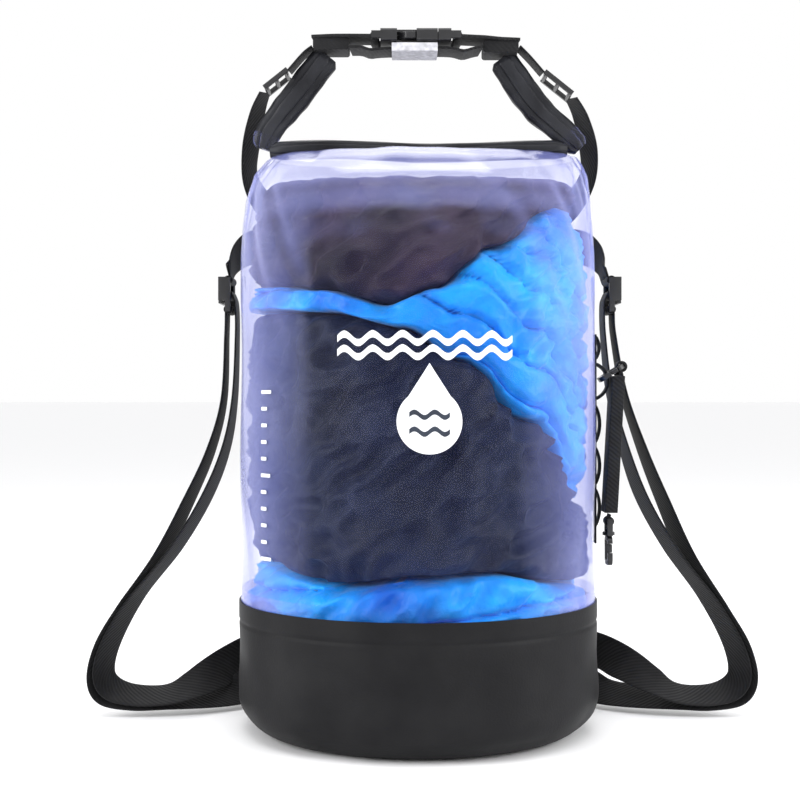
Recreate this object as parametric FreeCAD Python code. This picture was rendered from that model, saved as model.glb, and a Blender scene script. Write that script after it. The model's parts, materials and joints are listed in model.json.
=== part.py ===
"""A roll-top dry bag, filled and standing, with shoulder straps and a clip-on strap.

Millimetres, +Z up. The origin is the centre of the base, on the ground. -Y is the bag's front,
+Y is the wearer's side, +X is the right of the front view.
"""
import FreeCAD, Part
import math
import os

V = FreeCAD.Vector
UP = V(0, 0, 1)
ORIGIN = V(0, 0, 0)

# Bag body
BAG_R = 118.4            # outside of the filled film tube
FILM_T = 0.5             # clear film
TARP_T = 1.0             # coated fabric of the base
BASE_TOP = 86.0          # where the base panel ends
BASE_EDGE_R = 25.4       # rounded bottom edge
LAP = 12.0               # weld overlap of film inside base
PATCH_T = 1.2            # welded reinforcing patches

# Flattened sections above the tube: centre x, y, z, half width, half depth, forward tilt in degrees
SHOULDER = [
    (0.0, 0.0, 300.0, 118.4, 118.4, 0.0),
    (0.0, 0.0, 312.0, 118.3, 117.6, 0.0),
    (0.0, 0.5, 332.0, 117.6, 109.0, 0.6),
    (0.0, 2.0, 351.0, 116.2, 90.0, 1.9),
    (1.0, 5.5, 367.0, 113.6, 60.7, 4.7),
    (2.5, 8.5, 377.0, 108.6, 34.0, 10.2),
    (4.0, 8.5, 381.5, 104.0, 14.8, 24.0),
]

# Rolled closure
ROLL_HALF_W = 9.5
ROLL_HALF_T = 5.5
ROLL_ENDS = (-90.0, 91.0)
STIFFENER_T = 1.2

# Webbing and fittings
WEB_W = 25.0
WEB_T = 1.5
SIDE_WEB_W = 20.0
BAR_R = 1.6
BAR_GAP = 0.15
SLEEVE_T = 1.35

# Shoulder strap anchors, on both sides behind the bag
HINGE_X = 92.0
HINGE_Y = 98.0
UPPER_Z = 330.0
LOWER_Z = 38.0
RING_DEPTH = 9.0
UPPER_SEAT = 0.9         # the upper patches bridge the film's curve with this much room

# Side-release buckle
BUCKLE_Z = 460.0
BUCKLE_W = 32.0
BUCKLE_T = 8.6
FEMALE_X = (-31.0, 13.0)
MALE_X = (13.4, 28.5)

# Clip-on strap on the right
DAISY_W = 10.0
PIVOT = V(122.9, 0.0, 232.0)
HOOK_RISE = 32.0
HOOK_WIRE = 3.2
HOOK_LENGTH = 19.0
HOOK_WIDTH = 17.0
GATE_FROM = 8.2
GATE_TO = 14.4
LOW_HOOK = (125.0, -22.0, 129.0)
BUNDLE_TOP = (133.5, -1.0, 234.0)
BUNDLE_LOW = (125.5, -22.0, 144.5)
BUNDLE_HALF = (4.2, 9.5)
LOOP_W = 9.0


def save(name, shape):
    """Writes one sub-part and says what it holds."""
    solids = shape.Solids
    print(name, "solids", len(solids), "valid", shape.isValid(), "cm3", round(shape.Volume / 1000, 3))
    out = solids[0] if len(solids) == 1 else Part.makeCompound(solids)
    out.exportStep("parts/" + name + ".step")


def spline_points(stations, steps):
    """Catmull-Rom points through stations of any length of tuple."""
    ends = [tuple(2 * a - b for a, b in zip(stations[0], stations[1]))]
    tail = [tuple(2 * a - b for a, b in zip(stations[-1], stations[-2]))]
    run = ends + list(stations) + tail
    points = []
    for i in range(1, len(run) - 2):
        for k in range(steps):
            t = k / steps
            point = []
            for p0, p1, p2, p3 in zip(run[i - 1], run[i], run[i + 1], run[i + 2]):
                a = 2 * p1
                b = p2 - p0
                c = 2 * p0 - 5 * p1 + 4 * p2 - p3
                d = 3 * p1 - p0 - 3 * p2 + p3
                point.append(0.5 * (a + b * t + c * t * t + d * t ** 3))
            points.append(tuple(point))
    points.append(tuple(stations[-1]))
    return points


def ribbon(stations, width=WEB_W, thick=WEB_T, steps=3):
    """Flat webbing along stations (x, y, z, and the direction across the webbing)."""
    points = spline_points(stations, steps)
    wires = []
    for i, s in enumerate(points):
        before = points[max(i - 1, 0)]
        after = points[min(i + 1, len(points) - 1)]
        along = V(*after[:3]) - V(*before[:3])
        along.normalize()
        across = V(*s[3:6])
        across = across - along * across.dot(along)
        across.normalize()
        out = along.cross(across)
        centre = V(*s[:3])
        a = across * (width / 2)
        n = out * (thick / 2)
        corners = [centre + a + n, centre - a + n, centre - a - n, centre + a - n]
        wires.append(Part.makePolygon(corners + corners[:1]))
    return Part.makeLoft(wires, True, True)


def mirrored(stations):
    """The same webbing on the other side of the bag."""
    return [(-s[0], s[1], s[2], -s[3], s[4], s[5]) for s in stations]


def ellipse_wire(centre, axis_a, axis_b, half_a, half_b):
    """An ellipse from two directions across it."""
    if half_a < half_b:
        return ellipse_wire(centre, axis_b, axis_a * -1, half_b, half_a)
    shape = Part.Wire(Part.Ellipse(ORIGIN, half_a, half_b).toShape())
    normal = axis_a.cross(axis_b)
    turn = FreeCAD.Rotation(axis_a, axis_b, normal, "ZXY")
    shape.Placement = FreeCAD.Placement(centre, turn)
    return shape


def rod(a, b, r):
    """A round bar between two points."""
    line = b - a
    return Part.makeCylinder(r, line.Length, a, line)


def sleeve(a, b):
    """Webbing wrapped once round a bar that lies between two points."""
    inner = BAR_R + BAR_GAP
    return rod(a, b, inner + SLEEVE_T).cut(rod(a, b, inner))


def block(x, y, z):
    """A box from three (low, high) pairs."""
    return Part.makeBox(x[1] - x[0], y[1] - y[0], z[1] - z[0], V(x[0], y[0], z[0]))


def bag_rings(offset, low):
    """Outlines of the filled film from height low to the roll, grown or shrunk by offset."""
    rings = [ellipse_wire(V(0, 0, low), V(1, 0, 0), V(0, 1, 0), BAG_R + offset, BAG_R + offset - 0.01)]
    for x, y, z, a, b, tilt in SHOULDER:
        turn = math.radians(tilt)
        deep = V(0, math.cos(turn), -math.sin(turn))
        rings.append(ellipse_wire(V(x, y, z), V(1, 0, 0), deep, a + offset, b + offset - 0.01))
    return rings


def film_radius(angle, z):
    """How far the film's outside stands from the axis, at an angle in degrees and a height."""
    level = SHOULDER[0]
    above = SHOULDER[0]
    for section in SHOULDER:
        if section[2] <= z:
            level = section
        else:
            above = section
            break
    part = max(0.0, min(1.0, (z - level[2]) / max(above[2] - level[2], 1.0)))
    a = level[3] + (above[3] - level[3]) * part
    b = level[4] + (above[4] - level[4]) * part
    turn = math.radians(angle)
    return 1 / math.hypot(math.cos(turn) / a, math.sin(turn) / b)


def film_patch(angle, half_angle, levels, off, thick):
    """A patch that follows the film round the bag and up it."""
    wires = []
    for z in levels:
        inner = []
        outer = []
        for k in range(-4, 5):
            turn = angle + half_angle * k / 4
            r = film_radius(turn, z) + off
            way = V(math.cos(math.radians(turn)), math.sin(math.radians(turn)), 0)
            inner.append(way * r + UP * z)
            outer.append(way * (r + thick) + UP * z)
        corners = outer + inner[::-1]
        wires.append(Part.makePolygon(corners + corners[:1]))
    return Part.makeLoft(wires, True, True)


def base_profile(radius, bottom, top):
    """Solid of revolution of the base: flat bottom, rounded edge, straight wall."""
    edge_r = BASE_EDGE_R - bottom
    flat = radius - edge_r
    knee = math.sqrt(0.5) * edge_r
    p0 = V(0, 0, bottom)
    p1 = V(flat, 0, bottom)
    p2 = V(flat + knee, 0, bottom + edge_r - knee)
    p3 = V(radius, 0, bottom + edge_r)
    p4 = V(radius, 0, top)
    p5 = V(0, 0, top)
    edges = [
        Part.LineSegment(p0, p1).toShape(),
        Part.Arc(p1, p2, p3).toShape(),
        Part.LineSegment(p3, p4).toShape(),
        Part.LineSegment(p4, p5).toShape(),
        Part.LineSegment(p5, p0).toShape(),
    ]
    return Part.Face(Part.Wire(edges)).revolve(ORIGIN, UP, 360)


def make_film():
    """Clear tube, gathered to a slot under the roll, its lower edge inside the base."""
    outer = bag_rings(0, BASE_TOP - LAP)
    inner = bag_rings(-FILM_T, BASE_TOP - LAP)
    faces = Part.makeLoft(outer, False, True).Faces + Part.makeLoft(inner, False, True).Faces
    for k in (0, -1):
        faces.append(Part.Face([outer[k], inner[k]]))
    film = Part.makeSolid(Part.makeShell(faces))
    film.fix(0.001, 0.001, 0.001)
    if film.Volume < 0:
        film.reverse()
    save("window_film", film)


def make_base():
    """Base sidewall, base disc and the welded tapes inside."""
    wall_r = BAG_R + TARP_T
    flat_r = wall_r - BASE_EDGE_R
    shell = base_profile(wall_r, 0, BASE_TOP).cut(base_profile(BAG_R, TARP_T, BASE_TOP + 5))
    disc = Part.makeCylinder(flat_r, TARP_T)
    save("base_sidewall", shell.cut(Part.makeCylinder(flat_r, 3 * TARP_T)))
    save("base_disc", disc)
    tape = Part.makeCylinder(flat_r, 0.6, V(0, 0, TARP_T))
    save("base_seam_tape", tape.cut(Part.makeCylinder(flat_r - 14, 3, V(0, 0, 0))))
    low = BASE_TOP - LAP
    tape_r = BAG_R - FILM_T - 0.15
    band = Part.makeCylinder(tape_r, LAP + 8, V(0, 0, low))
    save("film_weld_tape", band.cut(Part.makeCylinder(tape_r - 0.5, LAP + 8, V(0, 0, low))))
    levels = [BASE_TOP + 0.5] + [section[2] for section in SHOULDER[:4]]
    save("back_seam_tape", film_patch(90, 4, levels, 0.08, 0.6))


def roll_frame():
    """Centre and directions of the roll's section, resting on the film's slot."""
    slot_x, slot_y, slot_z, half_w, half_d, tilt = SHOULDER[-1]
    turn = math.radians(tilt)
    wide = V(0, math.cos(turn), -math.sin(turn))
    thick = V(0, math.sin(turn), math.cos(turn))
    centre = V(0, slot_y, slot_z) + thick * (ROLL_HALF_T + 0.15)
    return centre, wide, thick


def make_roll():
    """The collar rolled up behind the crest, with its stiffening strip inside."""
    centre, wide, thick = roll_frame()
    low, high = ROLL_ENDS

    def bar(x0, x1, a, b):
        rings = [ellipse_wire(centre + V(x, 0, 0), wide, thick, a, b) for x in (x0, x1)]
        return Part.makeLoft(rings, True, True)

    roll = bar(low, high, ROLL_HALF_W, ROLL_HALF_T)
    core = bar(low + 2, high - 2, ROLL_HALF_W - 2.5, STIFFENER_T)
    save("roll_bar", roll.cut(core))
    strip = bar(low + 2.2, high - 2.2, ROLL_HALF_W - 2.7, STIFFENER_T - 0.2)
    save("roll_stiffener", strip)
    return roll


# Roll arms: centre x, y, z, half width, half thickness
ARM_LEFT = [
    (-105.0, 9.0, 388.0, 7.0, 4.5),
    (-101.0, 9.0, 399.0, 8.5, 5.5),
    (-92.0, 8.0, 411.0, 9.5, 6.0),
    (-82.0, 6.5, 423.0, 10.0, 6.5),
    (-71.0, 5.0, 437.0, 10.0, 6.5),
    (-61.0, 4.0, 450.0, 9.5, 6.0),
]
ARM_RIGHT = [
    (110.0, 9.0, 388.0, 7.0, 4.5),
    (99.0, 9.0, 399.0, 8.5, 5.5),
    (85.0, 8.0, 411.0, 9.5, 6.0),
    (74.0, 6.5, 423.0, 10.0, 6.5),
    (64.0, 5.0, 437.0, 10.0, 6.5),
    (56.5, 4.0, 448.0, 9.5, 6.0),
]


def make_arm(name, stations, keep_out):
    """One end of the roll, bent up and in towards the buckle."""
    rings = []
    for i, (x, y, z, half_w, half_t) in enumerate(stations):
        before = V(*stations[max(i - 1, 0)][:3])
        after = V(*stations[min(i + 1, len(stations) - 1)][:3])
        along = after - before
        along.normalize()
        across = V(0, 1, 0).cross(along)
        across.normalize()
        rings.append(ellipse_wire(V(x, y, z), across, along.cross(across), half_w, half_t))
    arm = Part.makeLoft(rings, True, False)
    for other in keep_out:
        arm = arm.cut(other)
    pieces = sorted(arm.Solids, key=lambda s: s.Volume)
    save(name, pieces[-1])


def bar_frame(inner_w, bars, rail_t, direction, centre):
    """Two rails joined by round bars across them, as in a ring, slider or ladder lock.

    bars are distances along direction from centre; the bars lie along Y.
    """
    rail_w = 3.0
    half = inner_w / 2
    frame = None
    for side in (-1, 1):
        y = side * (half + rail_w / 2)
        rail = block(
            (bars[0] - BAR_R, bars[-1] + BAR_R),
            (y - rail_w / 2, y + rail_w / 2),
            (-rail_t / 2, rail_t / 2),
        )
        frame = rail if frame is None else frame.fuse(rail)
    for x in bars:
        frame = frame.fuse(rod(V(x, -half - 1, 0), V(x, half + 1, 0), BAR_R))
    frame = frame.removeSplitter()
    angle = math.degrees(math.atan2(-direction[1], direction[0]))
    frame.rotate(ORIGIN, V(0, 1, 0), angle)
    frame.translate(centre)
    return frame


def make_anchor(side, level, z0, wall):
    """Patch, webbing tab and ring that hold one end of a shoulder strap on the bag."""
    angle = math.degrees(math.atan2(HINGE_Y, HINGE_X))
    if side == "left":
        angle = 180 - angle
    hinge_r = math.hypot(HINGE_X, HINGE_Y)
    inner_r = hinge_r - RING_DEPTH
    low = max(z0 - 20, BASE_EDGE_R)
    levels = [low, 312.0, 332.0, z0 + 21] if level == "upper" else [low, z0 + 20]
    seat = wall + (UPPER_SEAT if level == "upper" else 0.1)
    save(level + "_patch_" + side, film_patch(angle, 10, levels, seat, PATCH_T))
    ring = bar_frame(WEB_W + 1.5, (0, RING_DEPTH), 3.2, (1, 0), ORIGIN)
    ring.rotate(ORIGIN, V(1, 0, 0), 90)
    ring.translate(V(inner_r, 0, z0))
    ring.rotate(ORIGIN, UP, angle)
    save(level + "_ring_" + side, ring)
    half = WEB_W / 2
    loop = sleeve(V(inner_r, 0, z0 - half), V(inner_r, 0, z0 + half))
    foot = seat + PATCH_T + 0.3
    end = inner_r - BAR_R - BAR_GAP - 0.3
    heights = [z0 + half] + [z for z in reversed(levels) if abs(z - z0) < half] + [z0 - half]
    rim = [V(film_radius(angle, z) + foot, 0, z) for z in heights]
    rim += [V(end, 0, z0 - half), V(end, 0, z0 + half)]
    tongue = Part.Face(Part.makePolygon(rim + rim[:1])).extrude(V(0, 3.0, 0))
    tongue.translate(V(0, -1.5, 0))
    tab = loop.fuse(tongue)
    tab.rotate(ORIGIN, UP, angle)
    save(level + "_tab_" + side, tab)


TOP_WEB = [
    (-92.0, 98.0, 330.0, 0.0, 0.0, 1.0),
    (-108.0, 85.0, 330.0, 0.0, -0.05, 1.0),
    (-121.0, 67.0, 326.0, 0.0, -0.3, 0.9),
    (-128.0, 47.5, 318.5, 0.0, -0.7, 0.7),
    (-130.0, 34.6, 307.5, 0.0, -0.95, 0.25),
    (-129.5, 29.9, 302.0, 0.0, -1.0, 0.05),
]
RUN_LEFT = [
    (-126.6, 30.0, 290.0, 0.0, 1.0, 0.0),
    (-124.9, 30.0, 283.0, 0.0, 1.0, 0.0),
    (-124.6, 31.0, 262.0, 0.0, 1.0, 0.0),
    (-126.6, 32.0, 218.0, 0.05, 1.0, 0.0),
    (-133.0, 32.0, 183.0, 0.15, 1.0, 0.0),
    (-146.7, 31.0, 149.0, 0.3, 1.0, 0.1),
    (-168.0, 30.0, 114.0, 0.45, 1.0, 0.2),
    (-195.0, 29.0, 80.0, 0.6, 1.0, 0.3),
    (-211.0, 29.0, 52.0, 0.6, 1.0, 0.25),
    (-217.0, 30.0, 31.0, 0.5, 1.0, 0.2),
    (-212.0, 31.0, 19.0, 0.3, 0.9, 0.4),
    (-196.0, 31.0, 13.7, 0.1, 0.87, 0.38),
    (-173.0, 33.0, 13.7, 0.0, 0.87, 0.38),
    (-156.0, 40.0, 22.5, -0.1, 0.8, 0.6),
    (-143.0, 54.0, 31.0, -0.2, 0.6, 0.75),
    (-128.0, 80.0, 37.0, 0.0, 0.2, 1.0),
    (-110.0, 93.0, 37.0, 0.0, 0.0, 1.0),
    (-92.0, 98.0, 38.0, 0.0, 0.0, 1.0),
]
TAIL_LEFT = [
    (-131.3, 30.0, 279.0, 0.0, 1.0, 0.0),
    (-131.6, 29.0, 262.0, 0.0, 1.0, 0.0),
    (-133.5, 28.0, 218.0, 0.05, 1.0, 0.0),
    (-142.5, 27.0, 183.0, 0.15, 1.0, 0.0),
    (-157.5, 27.0, 149.0, 0.3, 1.0, 0.1),
    (-176.0, 28.0, 113.0, 0.45, 1.0, 0.2),
    (-200.0, 28.0, 77.5, 0.6, 1.0, 0.3),
    (-215.0, 28.0, 51.0, 0.6, 1.0, 0.25),
    (-221.0, 30.0, 28.0, 0.5, 1.0, 0.2),
    (-215.5, 31.0, 15.0, 0.3, 0.9, 0.4),
    (-196.0, 32.0, 10.2, 0.1, 0.87, 0.38),
    (-173.0, 35.0, 10.2, 0.0, 0.87, 0.38),
    (-150.0, 42.0, 10.2, 0.05, 0.85, 0.38),
    (-128.0, 58.0, 10.8, 0.15, 0.8, 0.38),
    (-113.0, 80.0, 15.5, 0.3, 0.6, 0.6),
]
RUN_RIGHT = [
    (129.6, 30.0, 290.0, 0.0, 1.0, 0.0),
    (127.9, 30.0, 283.0, 0.0, 1.0, 0.0),
    (128.6, 31.0, 262.0, 0.0, 1.0, 0.0),
    (133.0, 31.0, 224.0, -0.05, 1.0, 0.0),
    (143.6, 31.0, 183.0, -0.15, 1.0, 0.0),
    (156.0, 31.0, 149.0, -0.3, 1.0, 0.1),
    (176.0, 30.0, 114.0, -0.45, 1.0, 0.2),
    (201.0, 29.0, 80.0, -0.6, 1.0, 0.3),
    (217.0, 29.0, 52.0, -0.6, 1.0, 0.25),
    (223.0, 30.0, 31.0, -0.5, 1.0, 0.2),
    (218.0, 31.0, 19.0, -0.3, 0.9, 0.4),
    (202.0, 31.0, 13.7, -0.1, 0.87, 0.38),
    (180.0, 33.0, 14.7, 0.0, 0.87, 0.38),
    (163.0, 39.0, 22.5, 0.1, 0.8, 0.6),
    (147.0, 54.0, 31.0, 0.2, 0.6, 0.75),
    (130.0, 80.0, 37.0, 0.0, 0.2, 1.0),
    (110.0, 93.0, 38.0, 0.0, 0.0, 1.0),
    (92.0, 98.0, 38.0, 0.0, 0.0, 1.0),
]
TAIL_RIGHT = [
    (134.3, 30.0, 279.0, 0.0, 1.0, 0.0),
    (135.4, 29.0, 262.0, 0.0, 1.0, 0.0),
    (142.5, 28.0, 222.0, -0.05, 1.0, 0.0),
    (155.3, 27.0, 183.0, -0.15, 1.0, 0.0),
    (169.0, 27.0, 149.0, -0.3, 1.0, 0.1),
    (185.0, 28.0, 113.0, -0.45, 1.0, 0.2),
    (206.5, 28.0, 77.5, -0.6, 1.0, 0.3),
    (221.5, 28.0, 51.0, -0.6, 1.0, 0.25),
    (227.5, 30.0, 28.0, -0.5, 1.0, 0.2),
    (221.5, 31.0, 15.0, -0.3, 0.9, 0.4),
    (202.0, 32.0, 10.2, -0.1, 0.87, 0.38),
    (180.0, 35.0, 10.2, 0.0, 0.87, 0.38),
    (155.0, 43.0, 10.2, -0.05, 0.85, 0.38),
    (131.0, 60.0, 10.8, -0.15, 0.8, 0.38),
    (115.0, 81.0, 15.5, -0.3, 0.6, 0.6),
]


def hinge_loop(strap, sign, z0):
    """Joins a strap's end to the sleeve that turns on its anchor ring."""
    low = V(sign * HINGE_X, HINGE_Y, z0 - WEB_W / 2)
    high = V(sign * HINGE_X, HINGE_Y, z0 + WEB_W / 2)
    joined = strap.fuse(sleeve(low, high))
    return joined.cut(rod(low - UP, high + UP, BAR_R + BAR_GAP))


def make_shoulder_strap(side, run, tail):
    """Top webbing, ladder lock, main run and free tail of one shoulder strap."""
    sign = -1 if side == "left" else 1
    lock_x = -129.5 if side == "left" else 132.5
    half = WEB_W / 2
    bars_z = (300.0, 290.0, 280.0)

    def wrap(z):
        return sleeve(V(lock_x, 30 - half, z), V(lock_x, 30 + half, z))

    def core(z):
        return rod(V(lock_x, 30 - half - 1, z), V(lock_x, 30 + half + 1, z), BAR_R + BAR_GAP)

    path = TOP_WEB if side == "left" else mirrored(TOP_WEB)
    path = path[:-1] + [(lock_x,) + path[-1][1:]]
    top = hinge_loop(ribbon(path), sign, UPPER_Z).fuse(wrap(bars_z[0])).cut(core(bars_z[0]))
    for edge in ((8.0, 17.25), (42.75, 52.0)):
        top = top.cut(block((lock_x - 9, lock_x + 9), edge, (276, 302.3)))
    save("shoulder_top_web_" + side, top)
    spans = tuple(z - bars_z[1] for z in reversed(bars_z))
    lock = bar_frame(WEB_W + 0.8, spans, 3.6, (0, 1), V(lock_x, 30, bars_z[1]))
    save("ladder_lock_" + side, lock.fuse(ladder_cover(lock_x, sign)))
    main = hinge_loop(ribbon(run), sign, LOWER_Z).fuse(wrap(bars_z[1])).cut(core(bars_z[1]))
    save("shoulder_web_" + side, main)
    save("shoulder_tail_" + side, ribbon(tail).fuse(wrap(bars_z[2])).cut(core(bars_z[2])))


def ladder_cover(lock_x, sign):
    """The raised thumb plate on the outer side of a ladder lock."""
    outer = lock_x + sign * 1.8
    far = lock_x + sign * 6.4
    near = lock_x + sign * 4.6
    plate = [
        V(near, 16, 302),
        V(far, 16, 302),
        V(far, 16, 284),
        V(near, 16, 284),
        V(near, 16, 302),
    ]
    cover = Part.Face(Part.makePolygon(plate)).extrude(V(0, 28, 0))
    for y in (14.1, 42.9):
        cheek = block(
            (min(outer - sign * 0.5, far), max(outer - sign * 0.5, far)),
            (y, y + 3.0),
            (286, 302),
        )
        cover = cover.fuse(cheek)
    return cover


# Webbing from the ends of the roll down to the sides of the bag
SIDE_UPPER_LEFT = [
    (-70.5, 4.0, 455.0, 0.0, 1.0, 0.0),
    (-77.0, 4.5, 450.0, 0.0, 1.0, 0.0),
    (-86.5, 5.5, 439.5, 0.0, 1.0, 0.0),
]
SIDE_UPPER_RIGHT = [
    (68.0, 4.0, 455.0, 0.0, 1.0, 0.0),
    (75.0, 4.5, 448.0, 0.0, 1.0, 0.0),
    (84.0, 5.5, 438.0, 0.0, 1.0, 0.0),
]
SIDE_LOWER_LEFT = [
    (-103.5, 7.5, 426.0, 0.2, 1.0, 0.0),
    (-109.0, 11.0, 412.0, 0.45, 0.9, 0.2),
    (-114.0, 20.0, 392.0, 0.5, 0.85, 0.2),
    (-115.5, 34.0, 370.0, 0.4, 0.9, 0.3),
    (-106.0, 54.0, 353.0, 0.5, 0.6, 0.5),
    (-89.5, 70.0, 342.0, 0.6, 0.5, 0.6),
]
SIDE_LOWER_RIGHT = [
    (104.0, 7.5, 422.0, -0.2, 1.0, 0.0),
    (111.0, 11.0, 409.0, -0.45, 0.9, 0.2),
    (117.0, 20.0, 390.0, -0.5, 0.85, 0.2),
    (117.5, 34.0, 370.0, -0.4, 0.9, 0.3),
    (107.0, 54.0, 353.0, -0.5, 0.6, 0.5),
    (89.5, 70.0, 342.0, -0.6, 0.5, 0.6),
]


def make_side_webs(side, upper, lower):
    """Thin upper webbing, slider and wide lower webbing beside one arm of the roll."""
    top = V(*upper[-1][:3])
    low = V(*lower[0][:3])
    line = low - top
    line.normalize()
    first = top + line * (BAR_R + 1.0)
    last = low - line * (BAR_R + 1.0)
    half_span = (last - first).Length / 2
    middle = (first + last) * 0.5
    direction = (line.x, line.z)
    slider = bar_frame(SIDE_WEB_W + 1.5, (-half_span, 0, half_span), 3.0, direction, middle)
    save("triglide_" + side, slider)
    half = V(0, SIDE_WEB_W / 2, 0)
    for name, path, bar in (("side_web_upper_", upper, first), ("side_web_lower_", lower, last)):
        web = ribbon(path, SIDE_WEB_W).fuse(sleeve(bar - half, bar + half))
        web = web.cut(rod(bar - half * 1.2, bar + half * 1.2, BAR_R + BAR_GAP))
        save(name + side, web)


def end_web(block_x, block_z, buckle_x):
    """Webbing sewn over one end of the roll and led to the buckle."""
    outer, inner = block_x
    top = block_z[1] + 0.7
    level = BUCKLE_Z
    path = [
        (outer, 3.0, top, 0, 1, 0),
        ((outer + inner) / 2, 2.0, top + 0.3, 0, 1, 0),
        (inner, 1.0, (top + level) / 2 + 0.3, 0, 1, 0),
        (buckle_x, 0.0, level, 0, 1, 0),
    ]
    web = ribbon(path, WEB_W, 1.8)
    sewn = block(sorted(block_x), (-9, 15), block_z)
    sewn = sewn.makeFillet(2.0, [e for e in sewn.Edges if abs(e.BoundBox.YLength) > 20])
    loop = sleeve(V(buckle_x, -WEB_W / 2, level), V(buckle_x, WEB_W / 2, level))
    core = rod(V(buckle_x, -20, level), V(buckle_x, 20, level), BAR_R + BAR_GAP)
    return web.fuse(sewn).fuse(loop).cut(core)


LEFT_BLOCK_X = (-70.0, -46.0)
LEFT_BLOCK_Z = (451.5, 459.5)
RIGHT_BLOCK_X = (67.0, 43.5)
RIGHT_BLOCK_Z = (449.5, 457.5)


def make_end_webs():
    """Sewn ends of the roll, with the webbing tails that hang below the buckle."""
    left = end_web(LEFT_BLOCK_X, LEFT_BLOCK_Z, FEMALE_X[0] + 2.2)
    right = end_web(RIGHT_BLOCK_X, RIGHT_BLOCK_Z, MALE_X[1] - 2.2)
    save("end_web_left", left)
    save("end_web_right", right)
    level = BUCKLE_Z - BUCKLE_T / 2 - 3.6
    tail_left = [
        (-45.3, 1.0, level + 0.8, 0, 1, 0),
        (-38.0, 0.5, level + 0.6, 0, 1, 0),
        (-32.0, 0.0, level - 1.4, 0, 1, 0),
        (-25.0, 0.0, level - 0.8, 0, 1, 0),
        (-6.0, 0.0, level, 0, 1, 0),
    ]
    tail_right = [
        (42.2, 1.0, level + 0.8, 0, 1, 0),
        (37.0, 0.5, level - 0.4, 0, 1, 0),
        (30.0, 0.0, level - 2.2, 0, 1, 0),
        (22.0, 0.0, level - 0.4, 0, 1, 0),
        (5.0, 0.0, level, 0, 1, 0),
    ]
    save("tail_web_left", ribbon(tail_left, WEB_W, 1.8))
    save("tail_web_right", ribbon(tail_right, WEB_W, 1.8))
    half = WEB_W / 2 + 1.6
    outer = block((-17.5, 13.0), (-half, half), (level - 2.9, level + 2.9))
    inner = block((-18.5, 14.0), (-half + 1.1, half - 1.1), (level - 1.6, level + 1.6))
    save("tail_keeper", outer.cut(inner))


def make_buckle():
    """Female shell, male clip and its springy prongs."""
    half_w = BUCKLE_W / 2
    half_t = BUCKLE_T / 2
    low, high = FEMALE_X
    z0, z1 = BUCKLE_Z - half_t, BUCKLE_Z + half_t
    shell = block((low + 6, high), (-half_w, half_w), (z0, z1))
    shell = shell.makeFillet(2.0, [e for e in shell.Edges if e.BoundBox.XLength > 30])
    cavity = block((low + 12, high + 1), (-half_w + 3, half_w - 3), (z0 + 1.6, z1 - 1.6))
    shell = shell.cut(cavity)
    for side in (-1, 1):
        y = side * half_w
        window = block((low + 17, low + 30), (min(y, y - side * 6), max(y, y - side * 6)), (z0 - 1, z1 + 1))
        shell = shell.cut(window)
    bar_x = low + 2.2
    shell = shell.fuse(rod(V(bar_x, -half_w + 1, BUCKLE_Z), V(bar_x, half_w - 1, BUCKLE_Z), BAR_R))
    for side in (-1, 1):
        y = side * (half_w - 1.4)
        rail = block((low, low + 8), (y - 1.4, y + 1.4), (BUCKLE_Z - 2.4, BUCKLE_Z + 2.4))
        shell = shell.fuse(rail)
    save("buckle_female", shell)

    first, last = MALE_X
    body = block((first, last - 6.5), (-half_w, half_w), (z0, z1))
    body = body.makeFillet(2.0, [e for e in body.Edges if e.BoundBox.XLength > 5 and e.BoundBox.YLength < 1
                                 and e.BoundBox.ZLength < 1])
    tongue = block((low + 14, first), (-2.2, 2.2), (BUCKLE_Z - 2.2, BUCKLE_Z + 2.2))
    body = body.fuse(tongue)
    bar_x = last - 2.2
    body = body.fuse(rod(V(bar_x, -half_w + 1, BUCKLE_Z), V(bar_x, half_w - 1, BUCKLE_Z), BAR_R))
    for side in (-1, 1):
        y = side * (half_w - 1.4)
        rail = block((last - 8, last), (y - 1.4, y + 1.4), (BUCKLE_Z - 2.4, BUCKLE_Z + 2.4))
        body = body.fuse(rail)
    save("buckle_male", body)

    prongs = []
    for side in (-1, 1):
        outline = [
            V(first, side * 12.4, 0),
            V(low + 30.0, side * 12.6, 0),
            V(low + 29.5, side * 15.2, 0),
            V(low + 23.0, side * 15.2, 0),
            V(low + 17.6, side * 9.8, 0),
            V(low + 19.5, side * 8.0, 0),
            V(low + 26.0, side * 9.4, 0),
            V(first, side * 9.4, 0),
        ]
        face = Part.Face(Part.makePolygon(outline + outline[:1]))
        prong = face.extrude(V(0, 0, 4.6))
        prong.translate(V(0, 0, BUCKLE_Z - 2.3))
        prongs.append(prong)
    save("buckle_prongs", Part.makeCompound(prongs))


def make_daisy_chain():
    """Webbing welded up the right side, sewn into flat loops and one raised loop."""
    half_angle = math.degrees(DAISY_W / 2 / BAG_R)
    save("daisy_strip", film_patch(0, half_angle, [122.0, 262.0], 0.05, 1.1))
    loops = []
    for z0, rise in ((146.0, 3.0), (174.0, 3.0), (202.0, 3.0), (230.5, 8.4), (253.0, 2.6)):
        half = 8.0 if rise < 2.8 else 12.5
        foot = BAG_R + 1.25
        half_w = DAISY_W / 2

        def arch(bulge, reach, x):
            a = V(x, -half_w, z0 - reach)
            b = V(x + bulge, -half_w, z0)
            c = V(x, -half_w, z0 + reach)
            curve = Part.Arc(a, b, c).toShape()
            line = Part.LineSegment(c, a).toShape()
            return Part.Face(Part.Wire([curve, line])).extrude(V(0, DAISY_W, 0))

        loops.append(arch(rise, half, foot).cut(arch(rise - 1.3, half - 2.0, foot - 0.01)))
    save("daisy_loops", Part.makeCompound(loops))


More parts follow.
